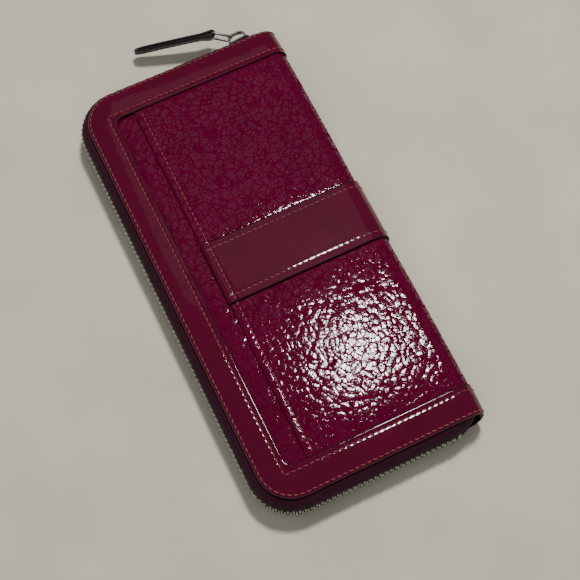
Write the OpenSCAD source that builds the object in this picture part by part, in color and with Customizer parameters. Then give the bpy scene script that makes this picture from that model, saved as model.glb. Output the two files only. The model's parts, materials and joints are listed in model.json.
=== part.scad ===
// Long zip-around wallet, lying closed on its back.
// Origin: centre of the rest face under the back. +X points to the spine, +Y to the end of the
// wallet where the closed zip slider stops, +Z up through the thickness.

/* [Wallet] */
// Length of the wallet along the spine
wallet_l = 203; // [165:1:245]
// Width from the leather edge on the zip side to the spine leather
wallet_w = 97; // [82:1:120]
// Thickness of the closed wallet
wallet_t = 22; // [19:0.5:28]
// Radius of the two rounded corners on the zip side
corner_r = 15.5; // [12:0.5:20]
// Outer radius where the leather rolls over the spine
spine_r = 8; // [6:0.25:10]
// Gap left at each spine fold between neighbouring leather pieces
fold_gap = 0.3; // [0.2:0.05:0.6]

/* [Leather layers] */
// Thickness of the smooth trim and strap leather
trim_t = 0.9; // [0.6:0.1:1.2]
// Thickness of the cover leather
cover_t = 0.8; // [0.5:0.1:1]
// Thickness of the slip pocket panel
pocket_t = 0.7; // [0.5:0.1:0.9]
// Slot between the slip pocket panel and the front cover
pocket_gap = 0.3; // [0.1:0.1:0.5]
// Thickness of the stiffener boards
board_t = 0.3; // [0.2:0.1:0.5]
// Thickness of the lining cloth
lining_t = 0.3; // [0.2:0.1:0.5]

/* [Trim and strap] */
// Width of the trim along the zip side
trim_side_w = 12.6; // [8:0.2:16]
// Width of the trim along both ends
trim_end_w = 13.4; // [8:0.2:16]
// Radius of the trim's inner corners
trim_inner_r = 4; // [2:0.5:8]
// Width of the strap round the middle
strap_w = 30; // [15:0.5:40]
// Offset of the strap's centre line towards the slider end
strap_y = 0.8; // [-5:0.1:5]
// Distance from the zip-side edge to the slip pocket's opening edge
pocket_edge = 21.6; // [18:0.2:40]
// Width of the slip pocket's seam along the spine
pocket_seam = 6; // [2:0.5:20]

/* [Zip] */
// Spacing of the teeth along each row
tooth_pitch = 2.4; // [1.8:0.1:3]
// Thickness of each tooth along its row
tooth_len = 1.3; // [0.8:0.1:1.6]
// Width of the row of teeth, outwards
tooth_w = 2.4; // [1.6:0.1:3]
// Height of a tooth
tooth_h = 2.05; // [1.4:0.05:2.4]
// Half of the space between the two rows, where the slider's wedge runs
tooth_gap = 0.85; // [0.7:0.05:1.2]
// How far the tape stands out from the leather's edge
zip_out = 3.2; // [2.6:0.1:5]
// Thickness of the zip tape
tape_t = 0.4; // [0.3:0.05:0.5]
// Width of the tape's flat margin sewn to the cover
tape_flange = 7; // [4:0.5:9]
// Height of the tape's upright part above its teeth
tape_rise = 1.4; // [0.8:0.1:2]
// Distance from the spine leather to the end of the zip
zip_end_gap = 8; // [7.5:0.5:30]
// Length of a metal end stop
stop_l = 1; // [0.8:0.1:3]
// Space between a stop and the nearest tooth
stop_gap = 0.6; // [0.4:0.1:1]

/* [Zip slider and pull] */
// Length of the slider
slider_l = 11; // [8:0.5:14]
// Space between the closed slider and the end stops
slider_gap = 0.5; // [0.3:0.1:2]
// Thickness of the slider's two wings
wing_t = 0.8; // [0.6:0.1:1.2]
// Clearance between the wings and the teeth
wing_clear = 0.25; // [0.2:0.05:0.4]
// Half of the slider's height at its wide end
wing_half = 4.1; // [3:0.1:4.3]
// Width of the bridge that holds the link
bridge_w = 2.4; // [1.6:0.1:3]
// Length of the slider's bridge
bridge_l = 9; // [6:0.5:10]
// Height of the slider's bridge above its wing
bridge_h = 5; // [4:0.1:6]
// Thickness of a bridge's two legs
bridge_leg = 0.9; // [0.6:0.1:1.2]
// Radius of the link's wire
wire_r = 0.6; // [0.5:0.05:0.9]
// Clearance round the link's bars
bar_clear = 0.15; // [0.1:0.05:0.3]
// Length of the link between its two bars
link_l = 9.4; // [6:0.2:12]
// Angle of the link away from the wallet's side
link_angle = 33; // [6:1:40]
// Angle of the tab away from the wallet's side
tab_angle = 12.5; // [6:0.5:30]
// Angle by which the pull leans in over the zip
pull_lean = 22; // [0:1:25]
// Length of the leather tab beyond the link's bar
tab_l = 35.5; // [24:0.5:50]
// Height of the leather tab at its fold
tab_w = 9; // [6:0.2:10]
// Height of the leather tab at its rounded end
tab_end_w = 8; // [4:0.2:9]
// How far the tab's rounded end droops
tab_droop = 9.5; // [0:0.5:10]
// Thickness of one of the tab's two layers of leather
tab_t = 1.1; // [0.8:0.1:1.4]

/* [Inside] */
// Thickness of one tier of card pockets
card_t = 0.4; // [0.3:0.05:0.5]
// Step from one tier's opening edge to the next
card_step = 11; // [8:0.5:14]
// Space between the card panels and the edge of the lining
card_inset = 1.5; // [1:0.5:4]
// Clear height inside the coin pouch
pouch_h = 4.4; // [3:0.1:5]
// Thickness of the coin pouch walls
pouch_wall = 0.45; // [0.3:0.05:0.6]
// Distance from the zip-side edge to the coin pouch's mouth
pouch_mouth = 18.5; // [17:0.5:35]
// Distance from each end of the wallet to the coin pouch
pouch_end = 12; // [10:0.5:20]
// Thickness of the tongue that joins the coin pouch to the spine
tongue_t = 1.2; // [0.8:0.1:2]
// Space between the coin pouch and the start of the spine's curve
pouch_back = 2; // [1:0.5:8]
// Length of the gussets along the wallet's ends
gusset_l = 46; // [20:1:50]
// Depth of the gussets' inward fold
gusset_fold = 7; // [4:0.5:10]
// Thickness of the gusset cloth
gusset_t = 0.3; // [0.2:0.05:0.4]
// Clearance between the gussets and their neighbours
gusset_clear = 0.3; // [0.2:0.05:0.6]

/* [Coin zip] */
// Distance from the pouch's mouth to the middle of its teeth
coin_out = 3; // [2.5:0.1:4]
// Half of the space between the coin zip's two rows
coin_gap = 0.6; // [0.5:0.05:0.9]
// Height of a coin zip tooth
coin_tooth_h = 1.2; // [0.8:0.1:1.4]
// Width of the coin zip's row of teeth
coin_tooth_w = 2; // [1.4:0.1:2.4]
// Length of the coin slider
coin_slider_l = 8; // [6:0.5:10]
// Half of the height of the coin slider's outer wing
coin_wing_half = 2.6; // [2:0.1:3]
// Thickness of the coin slider's wings
coin_wing_t = 0.7; // [0.5:0.05:0.8]
// Length of the coin slider's travel
coin_travel = 150; // [80:1:150]
// Length of the coin slider's metal pull
coin_pull_l = 11; // [8:0.5:11]
// Width of the coin slider's metal pull
coin_pull_w = 3.6; // [3:0.1:5]

/* [Hidden] */
$fn = 64;

// Colours of the leathers, cloths and metal.
crinkle_red = [0.36, 0.06, 0.16];
smooth_red = [0.29, 0.02, 0.1];
lining_plum = [0.3, 0.08, 0.16];
tape_plum = [0.2, 0.1, 0.14];
board_grey = [0.55, 0.52, 0.48];
tab_black = [0.05, 0.05, 0.05];
metal = [0.78, 0.78, 0.8];

// A small overlap that lets a cutting shape pass right through.
cut = 1;

// Plan positions. The spine folds lie in the outermost leather's surface.
edge_x = -wallet_w / 2;
spine_x = wallet_w / 2;
hinge_x = spine_x + trim_t;
roll_x = hinge_x - spine_r;
end_y = wallet_l / 2;
pocket_x = edge_x + pocket_edge;
zip_end_x = spine_x - zip_end_gap;
corner_x = edge_x + corner_r;
corner_y = end_y - corner_r;

// Heights of the back's layers; the front's are measured down from the top.
back_cover_z = trim_t;
back_in_z = back_cover_z + cover_t;
back_lining_z = back_in_z + board_t;
back_card_z = back_lining_z + lining_t;
back_stack = back_card_z + 3 * card_t;
front_pocket_d = trim_t;
front_cover_d = front_pocket_d + pocket_t + pocket_gap;
front_in_d = front_cover_d + cover_t;
front_lining_d = front_in_d + board_t;
front_card_d = front_lining_d + lining_t;
front_stack = front_card_d + 3 * card_t;

// The coin pouch floats half-way between the two stacks of card panels.
pouch_z = (back_stack + wallet_t - front_stack) / 2;
pouch_half = pouch_h / 2 + pouch_wall;
pouch_x0 = edge_x + pouch_mouth;
pouch_x1 = roll_x - pouch_back;
pouch_y = end_y - pouch_end;
coin_x = pouch_x0 - coin_out;

// Lining and card panels keep inside the tape's sewn margin.
lining_inset = tape_flange + 0.5;
lining_x0 = edge_x + lining_inset;
card_x0 = lining_x0 + card_inset;
card_y = end_y - lining_inset - card_inset;

// Zip: the chain runs at half the wallet's thickness.
zip_z = wallet_t / 2;
tooth_top = tooth_gap + tooth_h;
slider_x = zip_end_x - stop_l - slider_gap - slider_l / 2;
outer_wing = zip_out + tooth_w / 2 + wing_clear;
inner_wing = zip_out - tooth_w / 2 - wing_clear - wing_t;
// The link's bar is drawn into the outer corner of the bridge's slot, on the tab's side. As the
// pull leans, its bar needs more room under the slot's outer wall.
bar_play = bar_clear + wire_r;
lean_play = bar_clear + wire_r / cos(pull_lean) + bridge_w / 2 * tan(pull_lean);
bar_n = outer_wing + bridge_h - lean_play;
bar_back = bridge_l / 2 - bridge_leg - bar_play;
link_h = tab_w + 2 * bar_play;
wedge_half = tooth_gap - wing_clear;
coin_clear = 0.2;
coin_wedge_half = coin_gap - coin_clear;
coin_inner_half = coin_gap + coin_clear + 0.6;
coin_slider_y = coin_travel / 2;
coin_bar_x = coin_x - coin_tooth_w / 2 - coin_clear - coin_wing_t - bar_play;
coin_bridge_l = coin_slider_l - 2.4;
coin_bridge_h = 2 * bar_play + wing_t;
// The coin pull's window swings clear of the bridge's far corners.
coin_window = norm([coin_bridge_l / 2, coin_bridge_h - bar_play]) + coin_clear;

// ---- Helpers -------------------------------------------------------------------------------

function unit(v) = v / norm(v);
function left(v) = [-v.y, v.x];
function side(p, i) = left(unit(p[i + 1] - p[i]));
function mitre(a, b) = unit(a + b) / (unit(a + b) * a);
function shift(p, i) =
    i == 0 ? side(p, 0)
    : i == len(p) - 1 ? side(p, i - 1)
    : mitre(side(p, i - 1), side(p, i));
// Outline of a sheet of thickness t that follows the points p.
function sheet_outline(p, t) = concat(
    [for (i = [0 : len(p) - 1]) p[i] + shift(p, i) * t / 2],
    [for (i = [len(p) - 1 : -1 : 0]) p[i] - shift(p, i) * t / 2]
);

// Plan of a layer: rounded on the zip side, square at the spine side.
module plan(x0, x1, half_y, r) {
    translate([x0 + r, -half_y]) square([x1 - x0 - r, 2 * half_y]);
    translate([x0, r - half_y]) square([r, 2 * (half_y - r)]);
    for (s = [-1, 1])
        translate([x0 + r, s * (half_y - r)]) circle(r = r);
}

// Turns a piece of the back over to the same place under the front's outer face.
module front_side() {
    translate([0, 0, wallet_t]) mirror([0, 0, 1]) children();
}

// A leather layer's curve over the spine, d below the outer face, from y0 to y1.
module spine_roll(d, t, y0, y1) {
    translate([roll_x, y1, spine_r]) rotate([90, 0, 0])
        linear_extrude(y1 - y0)
            intersection() {
                difference() {
                    circle(r = spine_r - d);
                    circle(r = spine_r - d - t);
                }
                translate([0, -spine_r]) square([spine_r, spine_r - fold_gap / 2]);
            }
}

// A flat layer of the plan, with its curve over the spine.
module cover_layer(d, t) {
    translate([0, 0, d]) linear_extrude(t) plan(edge_x, roll_x, end_y, corner_r);
    spine_roll(d, t, -end_y, end_y);
}

// A straight leather strip across the wallet, with its curve over the spine.
module strap_layer(d, t, x0) {
    translate([x0, strap_y - strap_w / 2, d]) cube([roll_x - x0, strap_w, t]);
    spine_roll(d, t, strap_y - strap_w / 2, strap_y + strap_w / 2);
}

// The upright part of a layer between the two spine folds.
module spine_upright(d, t, y0, y1) {
    translate([hinge_x - d - t, y0, spine_r + fold_gap / 2])
        cube([t, y1 - y0, wallet_t - 2 * spine_r - fold_gap]);
}

// The frame of trim round three sides, in plan.
module trim_plan() {
    difference() {
        plan(edge_x, roll_x, end_y, corner_r);
        plan(edge_x + trim_side_w, roll_x + cut, end_y - trim_end_w, trim_inner_r);
    }
}

// The part of the plan on the end side of the mitre through the corner.
module mitre_end() {
    reach = 4 * corner_r;
    dx = trim_side_w * reach / trim_end_w;
    polygon([
        [edge_x, end_y], [edge_x + dx, end_y - reach],
        [hinge_x + cut, end_y - reach], [hinge_x + cut, end_y + cut], [edge_x - cut, end_y + cut]
    ]);
}

// Trim along the +Y end. Where the slip pocket panel doesn't reach, it is fill thicker underneath.
module end_trim(fill) {
    linear_extrude(trim_t) end_trim_plan();
    if (fill > 0)
        translate([0, 0, trim_t]) linear_extrude(fill) intersection() {
            end_trim_plan();
            translate([edge_x, -end_y]) square([pocket_edge, wallet_l]);
        }
    spine_roll(0, trim_t, end_y - trim_end_w, end_y);
}
module end_trim_plan() {
    intersection() {
        trim_plan();
        mitre_end();
    }
}

// Trim along the zip side, mitred at both corners.
module side_trim(thickness) {
    linear_extrude(thickness) difference() {
        intersection() {
            trim_plan();
            translate([edge_x, -end_y]) square([corner_r + trim_side_w, wallet_l]);
        }
        mitre_end();
        mirror([0, 1]) mitre_end();
    }
}

// One tier of card pockets.
module card_panel(z, tier) {
    x0 = card_x0 + tier * card_step;
    translate([x0, -card_y, z + tier * card_t]) cube([roll_x - x0, 2 * card_y, card_t]);
}

// Sweeps a profile, drawn as [outwards, up] from the leather's edge, round the zip's path.
module along_zip() {
    translate([corner_x, end_y, 0]) rotate([90, 0, 90])
        linear_extrude(zip_end_x - corner_x) children();
    translate([edge_x, -corner_y, 0]) rotate([90, 0, 180])
        linear_extrude(2 * corner_y) children();
    translate([zip_end_x, -end_y, 0]) rotate([90, 0, 270])
        linear_extrude(zip_end_x - corner_x) children();
    for (a = [0, 1])
        translate([corner_x, corner_y * (a == 0 ? 1 : -1), 0]) rotate([0, 0, 90 + 90 * a])
            rotate_extrude(angle = 90) translate([corner_r, 0]) children();
}

// Places something at a length s along the zip's path, measured at the teeth from the +Y end.
straight_l = zip_end_x - corner_x;
arc_l = PI / 2 * (corner_r + zip_out);
side_l = 2 * corner_y;
zip_l = 2 * straight_l + 2 * arc_l + side_l;
module on_zip(s) {
    s1 = straight_l;
    s2 = s1 + arc_l;
    s3 = s2 + side_l;
    s4 = s3 + arc_l;
    out = corner_r + zip_out;
    if (s <= s1)
        translate([zip_end_x - s, end_y + zip_out, 0]) children();
    else if (s <= s2)
        translate([corner_x, corner_y, 0]) rotate([0, 0, 90 * (s - s1) / arc_l])
            translate([0, out, 0]) children();
    else if (s <= s3)
        translate([edge_x - zip_out, corner_y - (s - s2), 0]) rotate([0, 0, 90]) children();
    else if (s <= s4)
        translate([corner_x, -corner_y, 0]) rotate([0, 0, 90 + 90 * (s - s3) / arc_l])
            translate([0, out, 0]) children();
    else
        translate([corner_x + s - s4, -end_y - zip_out, 0]) rotate([0, 0, 180]) children();
}

module zip_row() {
    first = stop_l + stop_gap + tooth_len / 2;
    count = floor((zip_l - 2 * first) / tooth_pitch);
    step = (zip_l - 2 * first) / count;
    for (i = [0 : count])
        on_zip(first + i * step)
            translate([-tooth_len / 2, -tooth_w / 2, tooth_gap]) cube([tooth_len, tooth_w, tooth_h]);
}

module zip_stop_pair() {
    for (s = [0, zip_l])
        on_zip(s)
            translate([-stop_l, -tooth_w / 2, tooth_gap]) cube([stop_l, tooth_w, tooth_h]);
}

// Tape from its teeth up over the slant to the margin sewn against a cover face at height face_z.
module tape(face_z) {
    knee = tooth_top + tape_rise;
    margin_z = face_z - tape_t / 2;
    along_zip() polygon(sheet_outline([
        [zip_out, tooth_top], [zip_out, knee], [0.4, margin_z], [-tape_flange, margin_z]
    ], tape_t));
}

// Cloth gusset folded inwards, between the heights z0 and z1, at the +Y end.
module gusset(z0, z1) {
    mid = (z0 + z1) / 2;
    low = z0 + gusset_clear + gusset_t;
    high = z1 - gusset_clear - gusset_t;
    outer = pouch_y - gusset_clear;
    translate([pouch_x1 - gusset_l, 0, 0]) rotate([90, 0, 90])
        linear_extrude(gusset_l)
            polygon(sheet_outline([[outer, low], [outer - gusset_fold, mid], [outer, high]], gusset_t));
}

// ---- Back ----------------------------------------------------------------------------------

module back_cover() {
    color(crinkle_red) cover_layer(back_cover_z, cover_t);
}

module back_stiffener() {
    color(board_grey) translate([0, 0, back_in_z]) linear_extrude(board_t)
        plan(lining_x0, roll_x, end_y - lining_inset, corner_r - lining_inset / 2);
}

module back_lining() {
    color(lining_plum) translate([0, 0, back_lining_z]) linear_extrude(lining_t)
        plan(lining_x0, roll_x, end_y - lining_inset, corner_r - lining_inset / 2);
}

module back_card_panel_1() { color(crinkle_red) card_panel(back_card_z, 0); }
module back_card_panel_2() { color(crinkle_red) card_panel(back_card_z, 1); }
module back_card_panel_3() { color(crinkle_red) card_panel(back_card_z, 2); }

module back_trim_top() { color(smooth_red) end_trim(0); }
module back_trim_side() { color(smooth_red) side_trim(trim_t); }
module back_trim_bottom() { color(smooth_red) mirror([0, 1, 0]) end_trim(0); }
module back_strap() { color(smooth_red) strap_layer(0, trim_t, edge_x + trim_side_w); }

module zip_tape_lower() {
    color(tape_plum) translate([0, 0, zip_z]) mirror([0, 0, 1]) tape(zip_z - back_in_z);
}
module zip_teeth_lower() {
    color(metal) translate([0, 0, zip_z]) mirror([0, 0, 1]) zip_row();
}
module zip_stops_lower() {
    color(metal) translate([0, 0, zip_z]) mirror([0, 0, 1]) zip_stop_pair();
}

module gusset_lower_top() { color(lining_plum) gusset(back_stack, pouch_z - pouch_half); }
module gusset_lower_bottom() {
    color(lining_plum) mirror([0, 1, 0]) gusset(back_stack, pouch_z - pouch_half);
}

// ---- Front ---------------------------------------------------------------------------------

module front_cover() {
    color(crinkle_red) front_side() cover_layer(front_cover_d, cover_t);
}

// The crinkled outer panel: open towards the zip side, and carried on over the spine. Its seams
// along both ends and the spine close the slot under it.
module slip_pocket_panel() {
    panel_l = roll_x - pocket_x;
    color(crinkle_red) front_side() {
        translate([pocket_x, -end_y, front_pocket_d]) cube([panel_l, wallet_l, pocket_t]);
        translate([pocket_x, -end_y, front_pocket_d + pocket_t]) linear_extrude(pocket_gap)
            difference() {
                square([panel_l, wallet_l]);
                translate([-cut, trim_end_w]) square([panel_l - pocket_seam + cut, wallet_l - 2 * trim_end_w]);
            }
        spine_roll(front_pocket_d, pocket_t + pocket_gap, -end_y, end_y);
    }
}

module front_stiffener() {
    color(board_grey) front_side() translate([0, 0, front_in_d]) linear_extrude(board_t)
        plan(lining_x0, roll_x, end_y - lining_inset, corner_r - lining_inset / 2);
}

module front_lining() {
    color(lining_plum) front_side() translate([0, 0, front_lining_d]) linear_extrude(lining_t)
        plan(lining_x0, roll_x, end_y - lining_inset, corner_r - lining_inset / 2);
}

module front_card_panel_1() { color(crinkle_red) front_side() card_panel(front_card_d, 0); }
module front_card_panel_2() { color(crinkle_red) front_side() card_panel(front_card_d, 1); }
module front_card_panel_3() { color(crinkle_red) front_side() card_panel(front_card_d, 2); }

module front_trim_top() { color(smooth_red) front_side() end_trim(pocket_t + pocket_gap); }
module front_trim_side() { color(smooth_red) front_side() side_trim(trim_t + pocket_t + pocket_gap); }
module front_trim_bottom() {
    color(smooth_red) front_side() mirror([0, 1, 0]) end_trim(pocket_t + pocket_gap);
}
module front_strap() { color(smooth_red) front_side() strap_layer(0, trim_t, pocket_x); }

module zip_tape_upper() {
    color(tape_plum) translate([0, 0, zip_z]) tape(wallet_t - front_in_d - zip_z);
}
module zip_teeth_upper() { color(metal) translate([0, 0, zip_z]) zip_row(); }
module zip_stops_upper() { color(metal) translate([0, 0, zip_z]) zip_stop_pair(); }

module gusset_upper_top() {
    color(lining_plum) gusset(pouch_z + pouch_half, wallet_t - front_stack);
}
module gusset_upper_bottom() {
    color(lining_plum) mirror([0, 1, 0]) gusset(pouch_z + pouch_half, wallet_t - front_stack);
}

// ---- Spine and coin pouch ------------------------------------------------------------------

module spine_cover() { color(crinkle_red) spine_upright(trim_t, cover_t, -end_y, end_y); }
module spine_lining() {
    color(lining_plum) spine_upright(trim_t + cover_t, lining_t, -pouch_y, pouch_y);
}
module spine_strap() {
    color(smooth_red) spine_upright(0, trim_t, strap_y - strap_w / 2, strap_y + strap_w / 2);
}
module spine_trim_top() { color(smooth_red) spine_upright(0, trim_t, end_y - trim_end_w, end_y); }
module spine_trim_bottom() {
    color(smooth_red) spine_upright(0, trim_t, -end_y, trim_end_w - end_y);
}

module pouch_face() {
    translate([pouch_x0, -pouch_y, pouch_h / 2]) cube([pouch_x1 - pouch_x0, 2 * pouch_y, pouch_wall]);
}
module pouch_upper_wall() { color(crinkle_red) translate([0, 0, pouch_z]) pouch_face(); }
module pouch_lower_wall() {
    color(crinkle_red) translate([0, 0, pouch_z]) mirror([0, 0, 1]) pouch_face();
}

// Band round the pouch's two ends and closed side, with the tongue glued to the spine lining.
module pouch_band() {
    color(lining_plum) translate([0, 0, pouch_z]) {
        linear_extrude(pouch_h, center = true) difference() {
            translate([pouch_x0, -pouch_y]) square([pouch_x1 - pouch_x0, 2 * pouch_y]);
            translate([pouch_x0 - cut, pouch_wall - pouch_y])
                square([pouch_x1 - pouch_x0 - pouch_wall + cut, 2 * (pouch_y - pouch_wall)]);
        }
        translate([pouch_x1 - pouch_wall, -pouch_y, -tongue_t / 2])
            cube([spine_x - cover_t - lining_t - pouch_x1 + pouch_wall, 2 * pouch_y, tongue_t]);
    }
}

// ---- Coin zip ------------------------------------------------------------------------------

// Runs its children along the pouch's mouth: drawn as [x, z] about the chain's centre.
module along_mouth() {
    translate([coin_x, pouch_y, pouch_z]) rotate([90, 0, 0]) linear_extrude(2 * pouch_y) children();
}

module coin_zip_tape() {
    wall_mid = pouch_half - pouch_wall / 2;
    inner = coin_gap + coin_tooth_h;
    color(tape_plum) for (s = [0, 1]) along_mouth() mirror([0, s])
        polygon([
            [-tape_t / 2, inner], [tape_t / 2, inner],
            [coin_out, wall_mid - pouch_wall / 2], [coin_out, wall_mid + pouch_wall / 2],
            [coin_out - 1, wall_mid + pouch_wall / 2], [-tape_t / 2, inner + tape_t]
        ]);
}

module coin_row_box(length) {
    for (s = [0, 1])
        mirror([0, 0, s]) translate([-coin_tooth_w / 2, -length / 2, coin_gap])
            cube([coin_tooth_w, length, coin_tooth_h]);
}

coin_row_l = 2 * (pouch_y - stop_l - 1);
coin_teeth = floor(coin_row_l / tooth_pitch);
module coin_zip_teeth() {
    step = (coin_row_l - tooth_len) / coin_teeth;
    color(metal) for (i = [0 : coin_teeth])
        translate([coin_x, -coin_row_l / 2 + tooth_len / 2 + i * step, pouch_z])
            coin_row_box(tooth_len);
}

module coin_zip_stops() {
    color(metal) for (s = [-1, 1])
        translate([coin_x, s * (pouch_y - stop_l / 2), pouch_z]) coin_row_box(stop_l);
}

module coin_slider() {
    face = coin_tooth_w / 2 + coin_clear;
    color(metal) translate([coin_x, coin_slider_y, pouch_z]) {
        translate([-face - coin_wing_t, -coin_slider_l / 2, -coin_wing_half])
            cube([coin_wing_t, coin_slider_l, 2 * coin_wing_half]);
        translate([face, -coin_slider_l / 2, -coin_inner_half])
            cube([coin_wing_t, coin_slider_l, 2 * coin_inner_half]);
        translate([-face - coin_wing_t / 2, 0, -coin_wedge_half])
            cube([2 * face + coin_wing_t, coin_slider_l / 2 - coin_wing_t, 2 * coin_wedge_half]);
        bridge(-face - coin_wing_t, coin_bridge_l, coin_bridge_h);
    }
}

// Bridge over a link's bar: it stands out from the plane x = face towards -X, with a slot along Z.
// Its legs are sunk a little way into the wing.
module bridge(face, length, height) {
    slot_h = height - wing_t;
    slot_l = length - 2 * bridge_leg;
    difference() {
        translate([face - height, -length / 2, -bridge_w / 2])
            cube([height + wing_t / 4, length, bridge_w]);
        translate([face - slot_h, -slot_l / 2, -bridge_w]) cube([slot_h, slot_l, 2 * bridge_w]);
    }
}

module coin_pull() {
    plate_t = 2 * wire_r;
    window = bridge_w + 2 * bar_clear;
    color(metal) translate([coin_bar_x, coin_slider_y, pouch_z]) {
        translate([0, 0, -coin_pull_w / 2 - wire_r]) cylinder(r = wire_r, h = coin_pull_w + 2 * wire_r);
        difference() {
            translate([-plate_t / 2, -coin_pull_l, -coin_pull_w / 2 - wire_r])
                cube([plate_t, coin_pull_l, coin_pull_w + 2 * wire_r]);
            translate([-plate_t, -coin_window, -window / 2])
                cube([2 * plate_t, coin_window + cut, window]);
        }
    }
}

// ---- Slider and pull -----------------------------------------------------------------------

// Moves to the slider: X along the zip, Y outwards from the leather's edge, Z up.
module at_slider() {
    translate([slider_x, end_y, zip_z]) children();
}

// A wing is wide over the open rows and narrow over the closed chain.
module wing(y) {
    tail = 0.72 * wing_half;
    waist = 0.8 * wing_half;
    nose = 1.5;
    x = slider_l / 2;
    translate([0, y + wing_t, 0]) rotate([90, 0, 0]) linear_extrude(wing_t) polygon([
        [-x, -tail], [0, -waist], [x - nose, -wing_half], [x, -tail],
        [x, tail], [x - nose, wing_half], [0, waist], [-x, tail]
    ]);
}

module zip_slider() {
    color(metal) at_slider() {
        wing(outer_wing);
        wing(inner_wing);
        translate([wing_t, inner_wing + wing_t / 2, -wedge_half])
            cube([slider_l / 2 - 2 * wing_t, outer_wing - inner_wing, 2 * wedge_half]);
        translate([0, outer_wing + wing_t, 0]) rotate([0, 0, -90]) bridge(0, bridge_l, bridge_h);
    }
}

// Moves to the link's leaning bar in the bridge.
module at_bar() {
    at_slider() translate([-bar_back, bar_n, 0]) rotate([pull_lean, 0, 0]) children();
}

// The link lies along -X from its bar before it is turned.
module pull_link() {
    color(metal) at_bar() rotate([0, 0, -link_angle]) {
        for (x = [0, -link_l])
            translate([x, 0, -link_h / 2]) cylinder(r = wire_r, h = link_h);
        for (s = [-1, 1])
            translate([-link_l - wire_r, -wire_r, s * link_h / 2 - wire_r])
                cube([link_l + 2 * wire_r, 2 * wire_r, 2 * wire_r]);
    }
}

// Two layers of leather folded round the link's outer bar, drooping to a rounded far end.
module pull_tab() {
    loop_r = bar_play + tab_t;
    color(tab_black) at_bar() translate([-link_l * cos(link_angle), link_l * sin(link_angle), 0])
        rotate([0, 0, -tab_angle]) difference() {
            union() {
                translate([0, 0, -tab_w / 2]) cylinder(r = loop_r, h = tab_w);
                translate([0, tab_t, 0]) rotate([90, 0, 0]) linear_extrude(2 * tab_t) tab_outline();
            }
            translate([0, 0, -tab_w]) cylinder(r = bar_play, h = 2 * tab_w);
        }
}
module tab_outline() {
    end_r = tab_end_w / 2;
    end_x = end_r - tab_l;
    polygon([
        [0, tab_w / 2], [end_x, end_r - tab_droop], [end_x, -end_r - tab_droop], [0, -tab_w / 2]
    ]);
    translate([end_x, -tab_droop]) circle(r = end_r);
}

back_cover();
back_stiffener();
back_lining();
back_card_panel_1();
back_card_panel_2();
back_card_panel_3();
back_trim_top();
back_trim_side();
back_trim_bottom();
back_strap();
zip_tape_lower();
zip_teeth_lower();
zip_stops_lower();
gusset_lower_top();
gusset_lower_bottom();
front_cover();
slip_pocket_panel();
front_stiffener();
front_lining();
front_card_panel_1();
front_card_panel_2();
front_card_panel_3();
front_trim_top();
front_trim_side();
front_trim_bottom();
front_strap();
zip_tape_upper();
zip_teeth_upper();
zip_stops_upper();
gusset_upper_top();
gusset_upper_bottom();
spine_cover();
spine_lining();
spine_strap();
spine_trim_top();
spine_trim_bottom();
pouch_lower_wall();
pouch_upper_wall();
pouch_band();
coin_zip_tape();
coin_zip_teeth();
coin_zip_stops();
coin_slider();
coin_pull();
zip_slider();
pull_link();
pull_tab();
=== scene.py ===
import json
import math

import bpy
import numpy as np
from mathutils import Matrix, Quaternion, Vector


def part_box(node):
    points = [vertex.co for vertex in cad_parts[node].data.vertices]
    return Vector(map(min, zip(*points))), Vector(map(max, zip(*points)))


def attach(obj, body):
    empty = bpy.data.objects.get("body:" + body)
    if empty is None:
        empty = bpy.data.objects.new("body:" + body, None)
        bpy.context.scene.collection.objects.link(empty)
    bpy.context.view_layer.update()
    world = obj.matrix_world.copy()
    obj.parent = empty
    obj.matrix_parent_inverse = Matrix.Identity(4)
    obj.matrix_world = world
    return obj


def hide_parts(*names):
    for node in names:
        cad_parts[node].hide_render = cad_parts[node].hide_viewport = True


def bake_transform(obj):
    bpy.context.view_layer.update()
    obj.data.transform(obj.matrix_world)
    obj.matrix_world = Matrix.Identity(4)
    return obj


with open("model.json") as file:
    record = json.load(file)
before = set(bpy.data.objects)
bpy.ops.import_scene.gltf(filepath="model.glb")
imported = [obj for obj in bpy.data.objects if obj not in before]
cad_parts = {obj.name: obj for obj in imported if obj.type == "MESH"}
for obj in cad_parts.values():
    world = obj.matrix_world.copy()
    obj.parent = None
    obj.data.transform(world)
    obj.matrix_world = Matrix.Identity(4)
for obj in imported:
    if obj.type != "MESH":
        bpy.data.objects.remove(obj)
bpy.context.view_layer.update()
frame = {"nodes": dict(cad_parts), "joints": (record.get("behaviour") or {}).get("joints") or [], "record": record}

MM = 0.001
JOINTS = {joint["name"]: joint for joint in frame["joints"]}

# ---- Sizes, read from the frame ----

EDGE_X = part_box("back_cover")[0].x
END_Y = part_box("back_cover")[1].y
HINGE_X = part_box("spine_strap")[1].x
TOP_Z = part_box("front_trim_side")[1].z
SPINE_R = JOINTS["lower_fold"]["pos_m"][2]
ROLL_X = HINGE_X - SPINE_R
TRIM_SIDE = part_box("back_strap")[0].x - EDGE_X
TRIM_END = END_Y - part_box("spine_trim_top")[0].y
TRIM_T = HINGE_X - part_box("spine_cover")[1].x
STRAP_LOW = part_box("front_strap")[0].y
STRAP_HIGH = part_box("front_strap")[1].y
ZIP_END_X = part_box("zip_tape_upper")[1].x
TEETH_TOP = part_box("zip_teeth_upper")[1].z
TEETH_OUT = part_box("zip_teeth_upper")[1].y - END_Y

# Heights over the trim's outer face; the leathers under it lie at negative heights.
PANEL_H = -TRIM_T
BASE_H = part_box("front_cover")[1].z - TOP_Z
COVER_T = 0.8 * MM
COVER_IN_H = BASE_H - COVER_T

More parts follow.
